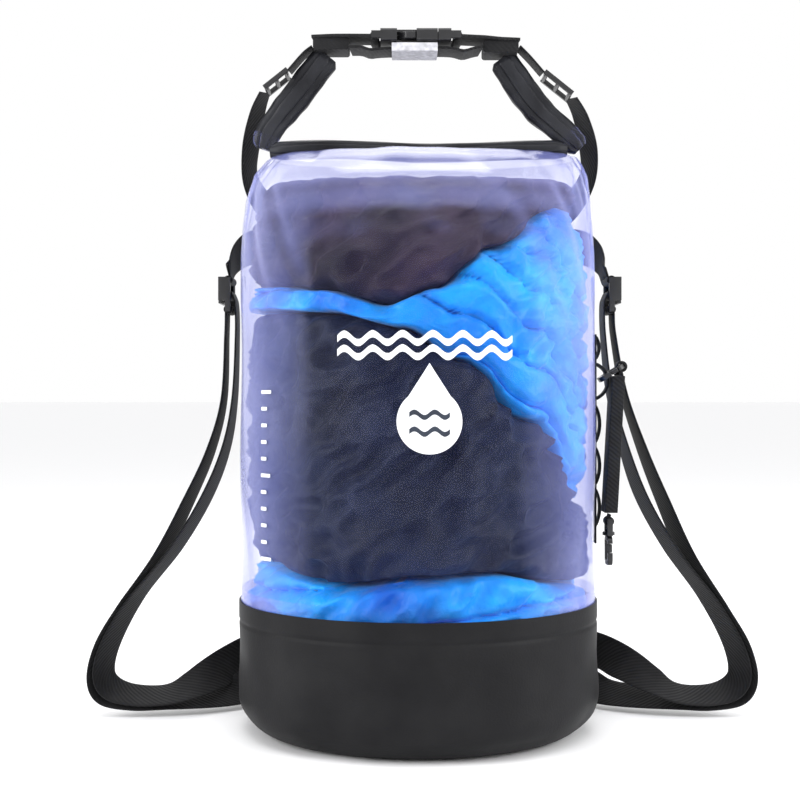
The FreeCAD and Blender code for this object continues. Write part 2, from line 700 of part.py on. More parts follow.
def rounded_frame(length, width, corner, low, high):
    """A flat plate with rounded corners, from x = 0 to length, between two heights."""
    plate = block((0, length), (-width / 2, width / 2), (low, high))
    return plate.makeFillet(corner, [e for e in plate.Edges if e.BoundBox.ZLength > (high - low) * 0.9])


def hook_parts():
    """Snap hook in its own frame: ring from x = 0 to its length, gate on the +y side."""
    wire = HOOK_WIRE
    half = wire / 2
    ring = rounded_frame(HOOK_LENGTH, HOOK_WIDTH, 4.5, -half, half)
    window = rounded_frame(HOOK_LENGTH - 2 * wire, HOOK_WIDTH - 2 * wire, 2.0, -3, 3)
    window.translate(V(wire, 0, 0))
    side_y = HOOK_WIDTH / 2 - half
    gap = block((GATE_FROM, GATE_TO), (side_y - 3, side_y + 3), (-3, 3))
    root = GATE_TO - 1.6
    gate = block((GATE_FROM + 0.3, root), (side_y - 1.3, side_y + 1.3), (-1.3, 1.3))
    gate = gate.fuse(rod(V(root, side_y, -1.3), V(root, side_y, 1.3), 1.3)).removeSplitter()
    return ring.cut(window).cut(gap), gate


def stem_parts():
    """Swivel stem on the hook's eye end, and the eye that turns on it and carries the webbing."""
    start = HOOK_LENGTH + 0.4
    half = 8.0
    stem = rod(V(HOOK_LENGTH - 0.8, 0, 0), V(HOOK_LENGTH + 3.0, 0, 0), 1.7)
    stem = stem.fuse(rod(V(HOOK_LENGTH + 3.0, 0, 0), V(HOOK_LENGTH + 4.4, 0, 0), 2.6))
    hole = rod(V(start - 1, 0, 0), V(start + 3, 0, 0), 1.85)
    eye = rod(V(start, 0, 0), V(start + 2.2, 0, 0), 4.0)
    eye = eye.fuse(block((start, start + 2.2), (-half, half), (-1.8, 1.8))).cut(hole)
    for side in (-1, 1):
        y = side * half
        rail = block((start, start + 11), (min(y, y - side * 2.2), max(y, y - side * 2.2)), (-1.8, 1.8))
        eye = eye.fuse(rail)
    return stem, eye.fuse(rod(V(start + 9.2, -half + 1, 0), V(start + 9.2, half - 1, 0), BAR_R))


def place(shape, origin, along, across):
    """Moves a shape from its own x and y directions to the ones given."""
    normal = along.cross(across)
    m = FreeCAD.Matrix(
        along.x, across.x, normal.x, origin.x,
        along.y, across.y, normal.y, origin.y,
        along.z, across.z, normal.z, origin.z,
        0, 0, 0, 1,
    )
    return shape.transformGeometry(m)


def make_clip_strap():
    """The clip-on strap: a snap hook at each end and the folded webbing between them."""
    ring, gate = hook_parts()
    stem, eye = stem_parts()
    rise = math.radians(HOOK_RISE)
    along = V(math.cos(rise), 0, math.sin(rise))
    across = V(0, -1, 0)
    start = PIVOT - along * (HOOK_WIRE / 2)
    save("hook_body_top", place(ring, start, along, across))
    save("hook_gate_top", place(gate, start, along, across))
    hang = V(LOW_HOOK[0], LOW_HOOK[1], LOW_HOOK[2] - HOOK_LENGTH)
    save("hook_body_bottom", place(ring.fuse(stem), hang, UP, across))
    save("hook_gate_bottom", place(gate, hang, UP, across))
    save("hook_eye_bottom", place(eye, hang, UP, across))

    rings = []
    for t in (0.0, 0.25, 0.5, 0.75, 1.0):
        centre = V(*BUNDLE_TOP) + (V(*BUNDLE_LOW) - V(*BUNDLE_TOP)) * t
        a, c = BUNDLE_HALF
        corners = [V(a, c, 0), V(-a, c, 0), V(-a, -c, 0), V(a, -c, 0)]
        rings.append(Part.makePolygon([centre + k for k in corners + corners[:1]]))
    save("accessory_strap", Part.makeLoft(rings, True, True))

    top_bar = start + along * (HOOK_LENGTH - HOOK_WIRE / 2)
    low_bar = hang + UP * (HOOK_LENGTH + 9.6)
    top_hole = HOOK_WIRE / 2 * math.sqrt(2) + BAR_GAP
    low_hole = BAR_R + BAR_GAP
    ends = []
    for bar, hole, pack, side in (
        (top_bar, top_hole, V(*BUNDLE_TOP), 1),
        (low_bar, low_hole, V(*BUNDLE_LOW), -1),
    ):
        half = V(0, LOOP_W / 2, 0)
        loop = rod(bar - half, bar + half, hole + SLEEVE_T)
        path = [
            (bar.x, bar.y, bar.z, 0, 1, 0),
            (bar.x, bar.y, bar.z - side * (hole + 0.8), 0, 1, 0),
            (pack.x, pack.y, pack.z + side * 1.3, 0, 1, 0),
        ]
        core = rod(bar - half * 1.2, bar + half * 1.2, hole)
        ends.append(ribbon(path, LOOP_W).fuse(loop).cut(core))
    save("accessory_loops", Part.makeCompound(ends))


def make_packed_clothes():
    """Rolled garments that fill the bag, each a plain slice of the inside."""
    r = BAG_R - 4.0

    def slice_ring(z, slope):
        turn = math.atan(slope)
        across = V(math.cos(turn), 0, math.sin(turn))
        return ellipse_wire(V(0, 0, z), across, V(0, 1, 0), r / math.cos(turn), r - 0.01)

    low_slope = -0.228
    high_slope = 0.15
    low = [ellipse_wire(V(0, 0, z), V(1, 0, 0), V(0, 1, 0), a, a - 0.01) for z, a in ((3.0, 90.0), (14.0, r - 5))]
    save("packed_blue_low", Part.makeLoft(low + [slice_ring(30.0, 0.0), slice_ring(94.0, 0.0)], True, True))
    save("packed_navy", Part.makeLoft([slice_ring(94.5, 0.0), slice_ring(243.5, low_slope)], True, True))
    save("packed_blue", Part.makeLoft([slice_ring(244.1, low_slope), slice_ring(298.0, high_slope)], True, True))
    rings = [slice_ring(298.6, high_slope)]
    for x, y, z, a, b, tilt in SHOULDER[3:6]:
        rings.append(ellipse_wire(V(x, y, z - 3), V(1, 0, 0), V(0, 1, 0), a - 6, b - 6))
    save("packed_grey", Part.makeLoft(rings, True, True))


def main():
    os.makedirs("parts", exist_ok=True)
    make_film()
    make_base()
    make_roll()
    left_block = block(LEFT_BLOCK_X, (-30, 30), (LEFT_BLOCK_Z[0] - 0.1, 480))
    right_block = block(sorted(RIGHT_BLOCK_X), (-30, 30), (RIGHT_BLOCK_Z[0] - 0.1, 480))
    make_arm("roll_arm_left", ARM_LEFT, [left_block])
    make_arm("roll_arm_right", ARM_RIGHT, [right_block])
    make_end_webs()
    make_buckle()
    make_side_webs("left", SIDE_UPPER_LEFT, SIDE_LOWER_LEFT)
    make_side_webs("right", SIDE_UPPER_RIGHT, SIDE_LOWER_RIGHT)
    for side in ("left", "right"):
        make_anchor(side, "upper", UPPER_Z, 0.0)
        make_anchor(side, "lower", LOWER_Z, TARP_T)
    make_shoulder_strap("left", RUN_LEFT, TAIL_LEFT)
    make_shoulder_strap("right", RUN_RIGHT, TAIL_RIGHT)
    make_daisy_chain()
    make_clip_strap()
    make_packed_clothes()


main()
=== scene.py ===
import bpy
import bmesh
import json
import math
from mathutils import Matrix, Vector, noise


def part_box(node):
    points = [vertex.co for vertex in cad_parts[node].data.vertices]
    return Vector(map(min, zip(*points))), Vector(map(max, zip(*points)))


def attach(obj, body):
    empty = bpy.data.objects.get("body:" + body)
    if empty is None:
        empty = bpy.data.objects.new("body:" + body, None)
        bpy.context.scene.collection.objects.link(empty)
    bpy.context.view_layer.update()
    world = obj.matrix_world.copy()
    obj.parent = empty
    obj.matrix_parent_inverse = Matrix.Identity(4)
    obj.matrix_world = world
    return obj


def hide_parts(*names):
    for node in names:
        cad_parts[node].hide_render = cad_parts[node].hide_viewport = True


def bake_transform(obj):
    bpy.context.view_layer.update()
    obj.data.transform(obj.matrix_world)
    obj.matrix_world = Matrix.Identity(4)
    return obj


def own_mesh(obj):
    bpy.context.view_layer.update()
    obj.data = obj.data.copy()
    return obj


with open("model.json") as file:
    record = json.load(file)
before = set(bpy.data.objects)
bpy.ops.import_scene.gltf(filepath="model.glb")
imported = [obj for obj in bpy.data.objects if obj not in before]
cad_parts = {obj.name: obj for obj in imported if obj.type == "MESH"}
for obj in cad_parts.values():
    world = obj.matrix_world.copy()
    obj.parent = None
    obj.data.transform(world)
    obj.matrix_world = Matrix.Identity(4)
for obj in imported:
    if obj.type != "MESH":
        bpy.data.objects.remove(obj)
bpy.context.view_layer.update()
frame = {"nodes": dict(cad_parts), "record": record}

# Camera: level, square to the bag's front, at the distance a product view is taken from.
camera_data = bpy.data.cameras.new("front_view")
camera_data.lens = 67.0
camera_data.sensor_width = 36.0
camera_data.shift_y = -0.00375
camera = bpy.data.objects.new("front_view", camera_data)
camera.location = (-0.012, -1.0, 0.22)
camera.rotation_euler = (math.radians(90), 0, 0)
bpy.context.collection.objects.link(camera)
bpy.context.scene.camera = camera

# Window film: a tube of frosted violet-blue PVC film, 0.5 mm thick, welded up the back. It is full
# and round in the middle, gathers to a slot under the roll, and falls in soft creases at the shoulder.
SHOULDER = [
    (0, 0, 0.3, 0.1184, 0.1184, 0),
    (0, 0, 0.312, 0.1183, 0.1176, 0),
    (0, 0.0005, 0.332, 0.1176, 0.109, 0.6),
    (0, 0.002, 0.351, 0.1162, 0.09, 1.9),
    (0.001, 0.0055, 0.367, 0.1136, 0.0607, 4.7),
    (0.0025, 0.0085, 0.377, 0.1086, 0.034, 10.2),
    (0.004, 0.0085, 0.3815, 0.104, 0.0148, 24),
]
FILM_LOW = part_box("window_film")[0][2]
FILM_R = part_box("window_film")[1][0]
FILM_THICK = 0.0005
WELD_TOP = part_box("film_weld_tape")[1][2]


def nodes_of(name):
    """A new material with its shader and tree."""
    material = bpy.data.materials.new(name)
    material.use_nodes = True
    tree = material.node_tree
    return material, tree, tree.nodes["Principled BSDF"]


def bump_from(tree, shader, source, strength, distance):
    """Feeds a pattern into the shader's normal as raised detail."""
    bump = tree.nodes.new("ShaderNodeBump")
    bump.inputs["Strength"].default_value = strength
    bump.inputs["Distance"].default_value = distance
    tree.links.new(source, bump.inputs["Height"])
    tree.links.new(bump.outputs["Normal"], shader.inputs["Normal"])


def noise_on(tree, scale, detail, coordinate="Object"):
    """A noise pattern on the piece's own coordinates."""
    place = tree.nodes.new("ShaderNodeTexCoord")
    pattern = tree.nodes.new("ShaderNodeTexNoise")
    pattern.inputs["Scale"].default_value = scale
    pattern.inputs["Detail"].default_value = detail
    tree.links.new(place.outputs[coordinate], pattern.inputs["Vector"])
    return pattern.outputs["Fac"]


def two_tone(tree, shader, source, dark, light, low=0.35, high=0.7):
    """Colours a shader between two tones by a pattern."""
    ramp = tree.nodes.new("ShaderNodeValToRGB")
    ramp.color_ramp.elements[0].position = low
    ramp.color_ramp.elements[0].color = (*dark, 1)
    ramp.color_ramp.elements[1].position = high
    ramp.color_ramp.elements[1].color = (*light, 1)
    tree.links.new(source, ramp.inputs["Fac"])
    tree.links.new(ramp.outputs["Color"], shader.inputs["Base Color"])


def film_finish():
    """Frosted translucent film: thin in the middle of the view, milky along its turned-away sides."""
    material, tree, shader = nodes_of("frosted_film")
    two_tone(tree, shader, noise_on(tree, 9, 3), (0.20, 0.23, 0.66), (0.40, 0.43, 0.88))
    shader.inputs["Roughness"].default_value = 0.2
    shader.inputs["Coat Weight"].default_value = 0.5
    shader.inputs["Coat Roughness"].default_value = 0.12
    facing = tree.nodes.new("ShaderNodeLayerWeight")
    facing.inputs["Blend"].default_value = 0.32
    ramp = tree.nodes.new("ShaderNodeMapRange")
    ramp.inputs["From Min"].default_value = 0.12
    ramp.inputs["From Max"].default_value = 0.9
    ramp.inputs["To Min"].default_value = 0.01
    ramp.inputs["To Max"].default_value = 0.50
    tree.links.new(facing.outputs["Facing"], ramp.inputs["Value"])
    tree.links.new(ramp.outputs["Result"], shader.inputs["Alpha"])
    bump_from(tree, shader, noise_on(tree, 420, 2), 0.05, 0.0004)
    return material


def section_at(z):
    """The film's outline at a height: centre x and y, half width, half depth, forward tilt."""
    first = SHOULDER[0]
    if z <= first[2]:
        return (first[0], first[1], z, first[3], first[4], 0.0)
    for a, b in zip(SHOULDER, SHOULDER[1:]):
        if z <= b[2]:
            part = (z - a[2]) / (b[2] - a[2])
            part = part * part * (3 - 2 * part) * 0.4 + part * 0.6
            mixed = [p + (q - p) * part for p, q in zip(a, b)]
            return (mixed[0], mixed[1], z, mixed[3], mixed[4], mixed[5])
    return SHOULDER[-1]


def film_crease(turn, z):
    """How far creases move the film in or out."""
    high = max(0.0, min(1.0, (z - 0.25) / 0.12))
    soft = noise.noise(Vector((math.cos(turn) * 2.2, math.sin(turn) * 2.2, z * 14))) * 0.0016
    drape = noise.noise(Vector((turn * 3.2, z * 9 + math.sin(turn * 2) * 1.5, 4.0))) * 0.0042 * high
    pull = -abs(math.sin(turn * 9 + z * 46 + 2 * math.sin(turn * 2))) ** 6 * 0.0020 * high
    free = max(0.0, min(1.0, (z - WELD_TOP) / 0.03))
    return (soft + drape + pull) * free


def film_point(turn, z, off=0.0):
    """A point on the creased film at an angle round the bag and a height."""
    x, y, level, wide, deep, tilt = section_at(z)
    grow = film_crease(turn, z) * min(1.0, deep / 0.04) + off
    lean = math.radians(tilt)
    across = math.cos(turn) * (wide + grow)
    along = math.sin(turn) * (deep + grow)
    return Vector((x + across, y + along * math.cos(lean), level - along * math.sin(lean)))


def finish_piece(obj, name, body, material, nodes, angle=40):
    """Names a piece, gives it its finish, hides the solids it stands for and ties it to its body."""
    obj.name = name
    obj.data.materials.clear()
    obj.data.materials.append(material)
    bpy.ops.object.select_all(action="DESELECT")
    obj.select_set(True)
    bpy.context.view_layer.objects.active = obj
    bpy.ops.object.shade_smooth_by_angle(angle=math.radians(angle))
    if nodes:
        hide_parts(*nodes)
    if body:
        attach(obj, body)
    return obj


def tube_of_rings(sides, low, high, levels):
    """An open tube, cut across into levels, ready to be shaped ring by ring."""
    bpy.ops.object.select_all(action="DESELECT")
    bpy.ops.mesh.primitive_cylinder_add(
        vertices=sides, radius=1, depth=high - low, end_fill_type="NOTHING",
        location=(0, 0, (low + high) / 2))
    tube = bpy.context.object
    bpy.ops.object.transform_apply(location=True)
    bpy.ops.object.mode_set(mode="EDIT")
    bpy.ops.mesh.select_all(action="DESELECT")
    bpy.ops.object.mode_set(mode="OBJECT")
    for edge in tube.data.edges:
        a, b = (tube.data.vertices[k].co for k in edge.vertices)
        edge.select = abs(a.z - b.z) > 1e-6
    bpy.ops.object.mode_set(mode="EDIT")
    bpy.ops.mesh.select_mode(type="EDGE")
    bpy.ops.mesh.subdivide(number_cuts=levels)
    bpy.ops.object.mode_set(mode="OBJECT")
    return tube


def apply_all(obj):
    """Makes a piece's modifiers part of its mesh."""
    bpy.ops.object.select_all(action="DESELECT")
    obj.select_set(True)
    bpy.context.view_layer.objects.active = obj
    for modifier in list(obj.modifiers):
        bpy.ops.object.modifier_apply(modifier=modifier.name)


film = tube_of_rings(224, FILM_LOW, SHOULDER[-1][2], 150)
for vertex in film.data.vertices:
    turn = math.atan2(vertex.co.y, vertex.co.x)
    vertex.co = film_point(turn, vertex.co.z, -0.0002)
thickness = film.modifiers.new("thickness", "SOLIDIFY")
thickness.thickness = FILM_THICK
thickness.offset = -1
apply_all(film)
film_material = film_finish()
finish_piece(film, "film_body", "bag", film_material, ["window_film"], 60)

# Back seam: the film's overlap, an 18 mm strip of the same film welded up the wearer's side.
def on_film(points_2d, turn0, off):
    """Wraps flat points (arc length, height) onto the film, centred at an angle."""
    return [film_point(turn0 + u / FILM_R, z, off) for u, z in points_2d]


def skin_patch(name, outline, turn0, off, cells, material, nodes, thick=0.0006):
    """A thin patch cut to an outline and laid on the film."""
    lows = min(z for u, z in outline)
    highs = max(z for u, z in outline)
    mesh = bmesh.new()
    face = mesh.faces.new([mesh.verts.new((u, 0, z)) for u, z in outline])
    face.normal_update()
    for k in range(1, cells):
        level = lows + (highs - lows) * k / cells
        geometry = mesh.verts[:] + mesh.edges[:] + mesh.faces[:]
        bmesh.ops.bisect_plane(mesh, geom=geometry, plane_co=(0, 0, level), plane_no=(0, 0, 1))
    left = min(u for u, z in outline)
    right = max(u for u, z in outline)
    for k in range(1, cells):
        place = left + (right - left) * k / cells
        geometry = mesh.verts[:] + mesh.edges[:] + mesh.faces[:]
        bmesh.ops.bisect_plane(mesh, geom=geometry, plane_co=(place, 0, 0), plane_no=(1, 0, 0))
    bmesh.ops.triangulate(mesh, faces=mesh.faces[:])
    for vertex in mesh.verts:
        vertex.co = on_film([(vertex.co.x, vertex.co.z)], turn0, off)[0]
    for part in mesh.faces:
        part.normal_update()
        centre = part.calc_center_median()
        if part.normal.dot(Vector((centre.x, centre.y, 0))) < 0:
            part.normal_flip()
    data = bpy.data.meshes.new(name)
    mesh.to_mesh(data)
    mesh.free()
    patch = bpy.data.objects.new(name, data)
    bpy.context.collection.objects.link(patch)
    solid = patch.modifiers.new("thickness", "SOLIDIFY")
    solid.thickness = thick
    solid.offset = 1
    apply_all(patch)
    return finish_piece(patch, name, "bag", material, nodes)


SEAM_HALF = 0.009
seam_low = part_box("back_seam_tape")[0][2]
seam_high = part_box("back_seam_tape")[1][2]
skin_patch("back_seam", [(-SEAM_HALF, seam_low), (SEAM_HALF, seam_low), (SEAM_HALF, seam_high),
                         (-SEAM_HALF, seam_high)], math.pi / 2, 0.0003, 40, film_material,
           ["back_seam_tape"])

# Base: a deep cup of black PVC-coated polyester, welded round the film. Its lower edge is rounded
# by the load, with soft dents, and a weld band shows as a faint line below its top.
BASE_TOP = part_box("base_sidewall")[1][2]
BASE_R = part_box("base_sidewall")[1][0]
BASE_EDGE = BASE_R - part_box("base_disc")[1][0]


def tarpaulin_finish(name, dark, light, rough, grain):
    """Matte coated fabric: a fine pebbled coating over a faint weave."""
    material, tree, shader = nodes_of(name)
    two_tone(tree, shader, noise_on(tree, 26, 4), dark, light)
    shader.inputs["Roughness"].default_value = rough
    shader.inputs["Specular IOR Level"].default_value = 0.16
    bump_from(tree, shader, noise_on(tree, grain, 3), 0.22, 0.0006)
    return material


base = tube_of_rings(192, 0.0, 1.0, 90)
for vertex in base.data.vertices:
    turn = math.atan2(vertex.co.y, vertex.co.x)
    t = vertex.co.z
    edge_share = 0.32
    if t < edge_share:
        bend = t / edge_share * math.pi / 2
        r = BASE_R - BASE_EDGE * (1 - math.sin(bend))
        z = BASE_EDGE * (1 - math.cos(bend))
    else:
        r = BASE_R
        z = BASE_EDGE + (BASE_TOP - BASE_EDGE) * (t - edge_share) / (1 - edge_share)
    low = max(0.0, 1 - z / 0.06)
    dents = noise.noise(Vector((math.cos(turn) * 3.2, math.sin(turn) * 3.2, z * 16))) * 0.0020
    folds = noise.noise(Vector((turn * 2.6, z * 42, 9))) * 0.0034 * low
    weld = -0.0009 * math.exp(-((z - (BASE_TOP - 0.013)) / 0.0011) ** 2)
    r += (dents + folds) * min(1.0, z / 0.012) * min(1.0, max(0.0, BASE_TOP - 0.012 - z) / 0.02) + weld
    vertex.co = Vector((math.cos(turn) * r, math.sin(turn) * r, z))
wall = base.modifiers.new("thickness", "SOLIDIFY")
wall.thickness = 0.001
wall.offset = -1
apply_all(base)
black_tarpaulin = tarpaulin_finish("black_tarpaulin", (0.004, 0.004, 0.005), (0.009, 0.009, 0.010), 0.55, 700)
finish_piece(base, "base_cup", "bag", black_tarpaulin, ["base_sidewall"], 60)

# Base disc and the two hidden weld tapes: a flat black disc, a black ring fused over its seam, and a
# band of clear film behind the lower edge of the window.
def softened(node, name, body, material, edge=0.0004):
    """A welded or moulded piece with its edges rounded, made from a copy of its solid."""
    bpy.ops.object.select_all(action="DESELECT")
    source = frame["nodes"][node]
    piece = bpy.data.objects.new(name, source.data.copy())
    bpy.context.collection.objects.link(piece)
    piece.select_set(True)
    bpy.context.view_layer.objects.active = piece
    bpy.ops.object.mode_set(mode="EDIT")
    bpy.ops.mesh.select_all(action="SELECT")
    bpy.ops.mesh.remove_doubles(threshold=0.00001)
    bpy.ops.mesh.dissolve_limited(angle_limit=math.radians(1))
    bpy.ops.object.mode_set(mode="OBJECT")
    rounding = piece.modifiers.new("rounding", "BEVEL")
    rounding.width = edge
    rounding.segments = 3
    rounding.limit_method = "ANGLE"
    rounding.angle_limit = math.radians(35)
    rounding.use_clamp_overlap = True
    apply_all(piece)
    return finish_piece(piece, name, body, material, [node])


softened("base_disc", "base_floor", "bag", black_tarpaulin)
softened("base_seam_tape", "base_inner_tape", "bag", black_tarpaulin, 0.0002)
softened("film_weld_tape", "film_inner_tape", "bag", film_material, 0.0002)

# Packed clothing: four soft garments stuffed in the bag, sealed behind the film. Each fills the round
# inside between two wavy limits; the jacket is quilted nylon, the others are plain padded cloth.
FILM_ROOM = 0.0035


def cloth_finish(name, dark, light, rough, sheen, fold_shade_scale):
    """Garment cloth: painted shade and painted light in patches the size of its folds, with a soft sheen and a
    fine weave.
    """
    material, tree, shader = nodes_of(name)
    # The two tones are painted shade and painted light, laid as fold-sized patches rather than the cloth's own
    # colour.
    two_tone(tree, shader, noise_on(tree, fold_shade_scale, 5), dark, light, 0.3, 0.68)
    shader.inputs["Roughness"].default_value = rough
    shader.inputs["Sheen Weight"].default_value = sheen
    shader.inputs["Specular IOR Level"].default_value = 0.25
    bump_from(tree, shader, noise_on(tree, 48, 7), 0.8, 0.006)
    return material


def smooth_mix(value, stops):
    """Reads a smooth line through (place, height) stops."""
    if value <= stops[0][0]:
        return stops[0][1]
    for (x0, z0), (x1, z1) in zip(stops, stops[1:]):
        if value <= x1:
            part = (value - x0) / (x1 - x0)
            return z0 + (z1 - z0) * part * part * (3 - 2 * part)
    return stops[-1][1]


def garment(name, low_stops, high_stops, quilting, folds, material, node, seed):
    """A crowned, stuffed piece of clothing between two limits that change from left to right."""
    sides = 220
    levels = 70
    data = bpy.data.meshes.new(name)
    mesh = bmesh.new()
    rows = []
    for j in range(levels + 1):
        t = j / levels
        swell = (1 - abs(2 * t - 1) ** 7) ** (1 / 7) if 0 < t < 1 else 0.0
        row = []
        for i in range(sides):
            turn = 2 * math.pi * i / sides
            side = math.cos(turn)
            z0 = smooth_mix(side, low_stops)
            z1 = smooth_mix(side, high_stops)
            sway = noise.noise(Vector((math.cos(turn) * 1.7, math.sin(turn) * 1.7, seed))) * 0.006
            z = z0 + (z1 - z0) * t
            z += sway * math.sin(math.pi * t)
            x, y, level, wide, deep, tilt = section_at(max(z, 0.1))
            room = 1.0
            if z < 0.03:
                room = 0.76 + 0.24 * math.sqrt(max(0.0, z / 0.03))
            crest = min(1.0, max(0.0, (z - 0.30) / 0.05))
            inside = noise.noise(Vector((math.cos(turn) * 5, math.sin(turn) * 5, z * 34 + seed)))
            drape = noise.noise(Vector((turn * 2.2 + z * 18, z * 30 - turn * 3.1, seed * 2)))
            quilt = abs(math.sin((z - z0 - 0.25 * side * 0.05) * math.pi / quilting)) if quilting else 1.0
            dip = -0.0075 * (1 - quilt) ** 5
            ridge = 1 - abs(noise.noise(Vector((turn * 3.4 + z * 26, z * 52 - turn * 4.5, seed * 3)))) * 2.6
            fine = noise.noise(Vector((turn * 11 + z * 40, z * 120 - turn * 6, seed * 5)))
            rough = folds * (1.3 * ridge - 1.7 + 0.6 * inside + 0.5 * abs(drape) + 0.35 * fine) + dip
            a = ((wide - FILM_ROOM) * room * (1 - 0.045 * crest) + rough) * (0.62 + 0.38 * swell)
            b = ((deep - FILM_ROOM) * room * (1 - 0.20 * crest) + rough) * (0.62 + 0.38 * swell)
            row.append(mesh.verts.new((x + math.cos(turn) * a, y + math.sin(turn) * b, z)))
        rows.append(row)
    for lower, upper in zip(rows, rows[1:]):
        for i in range(sides):
            k = (i + 1) % sides
            mesh.faces.new((lower[i], lower[k], upper[k], upper[i]))
    for row, flip in ((rows[0], True), (rows[-1], False)):
        middle = sum((v.co for v in row), Vector()) / sides
        pole = mesh.verts.new(middle)
        for i in range(sides):
            k = (i + 1) % sides
            corner = (row[k], row[i], pole) if flip else (row[i], row[k], pole)
            mesh.faces.new(corner)
    bmesh.ops.recalc_face_normals(mesh, faces=mesh.faces[:])
    mesh.to_mesh(data)
    mesh.free()
    piece = bpy.data.objects.new(name, data)
    bpy.context.collection.objects.link(piece)
    finish_piece(piece, name, "bag", material, [node], 80)
    return piece


# Each cloth's two colours are its painted shade and painted light across the folds.
jacket = cloth_finish("quilted_nylon", (0.0, 0.10, 0.55), (0.0, 0.36, 1.0), 0.36, 0.1, 22)
navy = cloth_finish("navy_cloth", (0.002, 0.004, 0.014), (0.010, 0.018, 0.055), 0.6, 0.02, 16)
grey = cloth_finish("grey_cloth", (0.004, 0.003, 0.007), (0.036, 0.020, 0.042), 0.65, 0.02, 15)
LOW_TOP = [(-1.0, 0.112), (-0.5, 0.104), (0.0, 0.110), (0.45, 0.112), (1.0, 0.100)]
NAVY_TOP = [(-1.0, 0.276), (-0.55, 0.272), (-0.1, 0.262), (0.25, 0.243), (0.7, 0.205), (1.0, 0.150)]
JACKET_TOP = [(-1.0, 0.292), (-0.6, 0.286), (-0.2, 0.276), (0.1, 0.286), (0.45, 0.312), (1.0, 0.348)]
CREST_TOP = [(-1.0, 0.364), (1.0, 0.364)]
garment("jacket_low", [(-1, 0.004), (1, 0.004)], LOW_TOP, 0.026, 0.0042, jacket,
        "packed_blue_low", 3.0)
garment("navy_pile", LOW_TOP, NAVY_TOP, 0, 0.0055, navy, "packed_navy", 7.0)
garment("jacket_fold", NAVY_TOP, JACKET_TOP, 0.024, 0.0042, jacket, "packed_blue", 11.0)
garment("grey_garment", JACKET_TOP, CREST_TOP, 0, 0.0060, grey, "packed_grey", 15.0)

# Printed marks: white ink on the film's front. A drop-shaped badge with two waves, two long wave
# bands above it and a column of level ticks on the left; none of them is lettering.
INK_OFF = 0.0007


def ink_finish(name, dark, light, rough):
    """Printing ink: an even coat with a faint grain."""
    material, tree, shader = nodes_of(name)
    two_tone(tree, shader, noise_on(tree, 60, 2), dark, light)
    shader.inputs["Roughness"].default_value = rough
    bump_from(tree, shader, noise_on(tree, 900, 2), 0.1, 0.0002)
    return material


white_ink = ink_finish("white_ink", (0.80, 0.82, 0.86), (0.90, 0.91, 0.94), 0.4)
dark_ink = ink_finish("dark_ink", (0.01, 0.015, 0.03), (0.02, 0.03, 0.05), 0.45)
FRONT = -math.pi / 2
BADGE_X = 0.0055
BADGE_Z = 0.2055
BADGE_R = 0.0195
BADGE_TIP = 0.0345
drop = []
for k in range(41):
    turn = math.radians(-230 + 280 * k / 40)
    drop.append((BADGE_X + BADGE_R * math.cos(turn), BADGE_Z + BADGE_R * math.sin(turn)))
drop.append((BADGE_X, BADGE_Z + BADGE_TIP))
skin_patch("badge", drop, FRONT, INK_OFF, 12, white_ink, [], 0.0002)


def wave_band(x0, x1, z, height, swing, length):
    """A band that follows a wave, as an outline."""
    count = 96
    top = []
    bottom = []
    for k in range(count + 1):
        x = x0 + (x1 - x0) * k / count
        level = z + swing * math.sin(2 * math.pi * (x - x0) / length)
        top.append((x, level + height / 2))
        bottom.append((x, level - height / 2))
    return bottom + top[::-1]


for k in range(2):
    wave_z = BADGE_Z + 0.004 - 0.010 * k
    wave = wave_band(BADGE_X - 0.012, BADGE_X + 0.012, wave_z, 0.0030, 0.0016, 0.012)
    skin_patch("badge_wave_%d" % k, wave, FRONT, INK_OFF + 0.0003, 10, dark_ink, [], 0.0001)
for k in range(2):
    wave = wave_band(-0.051, 0.057, 0.2465 + 0.0085 * k, 0.0042, 0.0026, 0.018)
    skin_patch("wave_band_%d" % k, wave, FRONT, INK_OFF, 24, white_ink, [], 0.0002)
TICK_TURN = math.radians(-90 - 53)
for k in range(11):
    z = 0.118 + 0.0104 * k
    reach = 0.011 if k % 5 == 0 else 0.0065
    tick = [(-0.0055, z), (-0.0055 + reach, z), (-0.0055 + reach, z + 0.0022), (-0.0055, z + 0.0022)]
    skin_patch("level_tick_%d" % k, tick, TICK_TURN, INK_OFF, 4, white_ink, [], 0.0002)

# Roll: the collar of black satin fabric, rolled over a flexible strip.
# Its two ends are bent up and in; folds run along them, and film shows in a pale cuff at each corner.
ARM_LEFT = [
    (-0.105, 0.009, 0.388, 0.007, 0.0045),
    (-0.101, 0.009, 0.399, 0.0085, 0.0055),
    (-0.092, 0.008, 0.411, 0.0095, 0.006),
    (-0.082, 0.0065, 0.423, 0.01, 0.0065),
    (-0.071, 0.005, 0.437, 0.01, 0.0065),
    (-0.061, 0.004, 0.45, 0.0095, 0.006),
]
ARM_RIGHT = [
    (0.11, 0.009, 0.388, 0.007, 0.0045),
    (0.099, 0.009, 0.399, 0.0085, 0.0055),
    (0.085, 0.008, 0.411, 0.0095, 0.006),
    (0.074, 0.0065, 0.423, 0.01, 0.0065),
    (0.064, 0.005, 0.437, 0.01, 0.0065),
    (0.0565, 0.004, 0.448, 0.0095, 0.006),
]
collar_fabric = tarpaulin_finish("collar_fabric", (0.008, 0.008, 0.010), (0.030, 0.031, 0.036), 0.36, 520)


